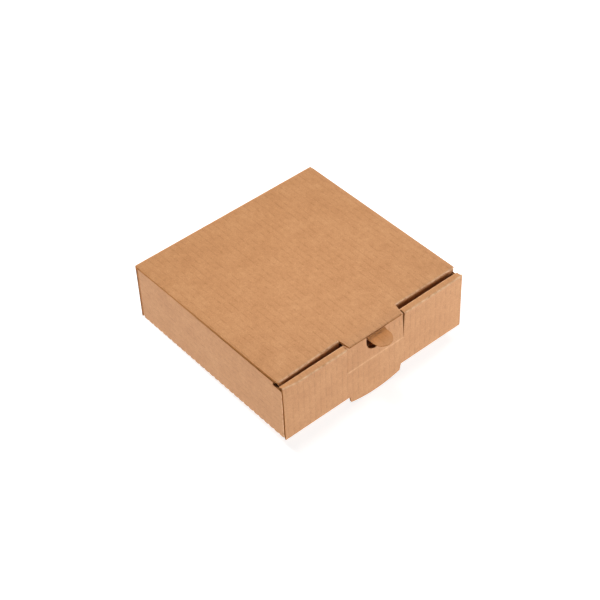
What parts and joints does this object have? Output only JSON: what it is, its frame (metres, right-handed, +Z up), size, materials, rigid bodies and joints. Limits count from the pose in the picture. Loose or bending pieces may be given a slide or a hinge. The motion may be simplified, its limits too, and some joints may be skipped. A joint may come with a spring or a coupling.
{
  "type": "dessert box",
  "caption": "Square folded box of kraft corrugated board with a hinged lid, a tongue over a doubled front wall, a thumb tab and a tab below the front edge.",
  "frame": {"origin": "middle of the bottom panel's underside", "axes": "+Z up, front wall facing -Y, +X to the right seen from the front"},
  "size_m": [0.211, 0.226, 0.0753],
  "materials": {
    "board": "matte brown kraft liner over a fluted core"
  },
  "bodies": {
    "tray": {"tray": "board"},
    "lid": {"lid": "board"}
  },
  "joints": [
    {"name": "lid_hinge", "type": "hinge", "parent": "tray", "child": "lid", "pos_m": [0, 0.1045, 0.065], "axis": [-1, 0, 0], "range_deg": [0, 180]}
  ]
}
